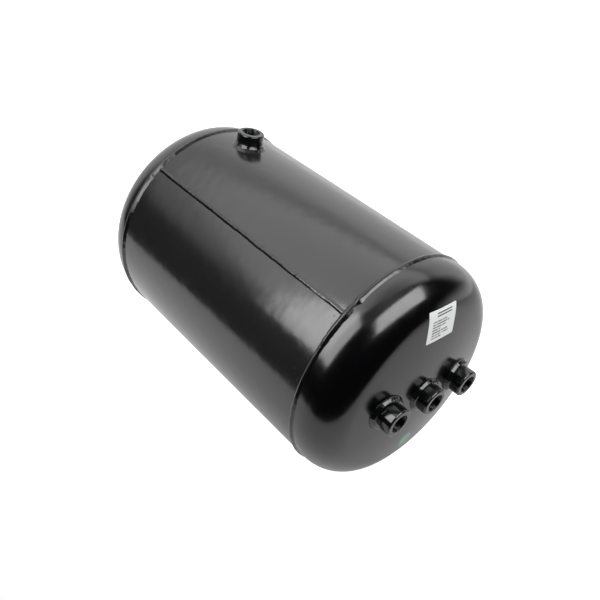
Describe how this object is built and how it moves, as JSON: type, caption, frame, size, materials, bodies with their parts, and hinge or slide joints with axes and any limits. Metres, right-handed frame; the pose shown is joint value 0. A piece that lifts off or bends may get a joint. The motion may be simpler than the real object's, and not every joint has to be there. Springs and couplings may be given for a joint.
{
  "type": "compressed air reservoir",
  "caption": "Horizontal cylindrical steel pressure tank with dished ends, threaded ports in one end and on top; stores compressed air for a vehicle's brakes.",
  "frame": {"origin": "on the underside of the shell, under the middle of its length, where the mounting cradle carries it", "axes": "+X along the tank's axis towards the ported head, +Z out through the port in the shell"},
  "size_m": [0.4673, 0.2792, 0.296],
  "materials": {
    "painted_steel": "semi-gloss black",
    "painted_weld": "semi-gloss black over rippled weld",
    "painted_port": "gloss black over turned steel",
    "label_foil": "satin printed foil"
  },
  "bodies": {
    "root": {"shell": "painted_steel", "front_head": "painted_steel", "rear_head": "painted_steel", "front_girth_weld": "painted_weld", "rear_girth_weld": "painted_weld", "longitudinal_seam_weld": "painted_weld", "front_port_left": "painted_port", "front_port_centre": "painted_port", "front_port_right": "painted_port", "shell_port": "painted_port", "front_port_left_weld": "painted_weld", "front_port_centre_weld": "painted_weld", "front_port_right_weld": "painted_weld", "shell_port_weld": "painted_weld", "rating_label": "label_foil"}
  },
  "joints": []
}
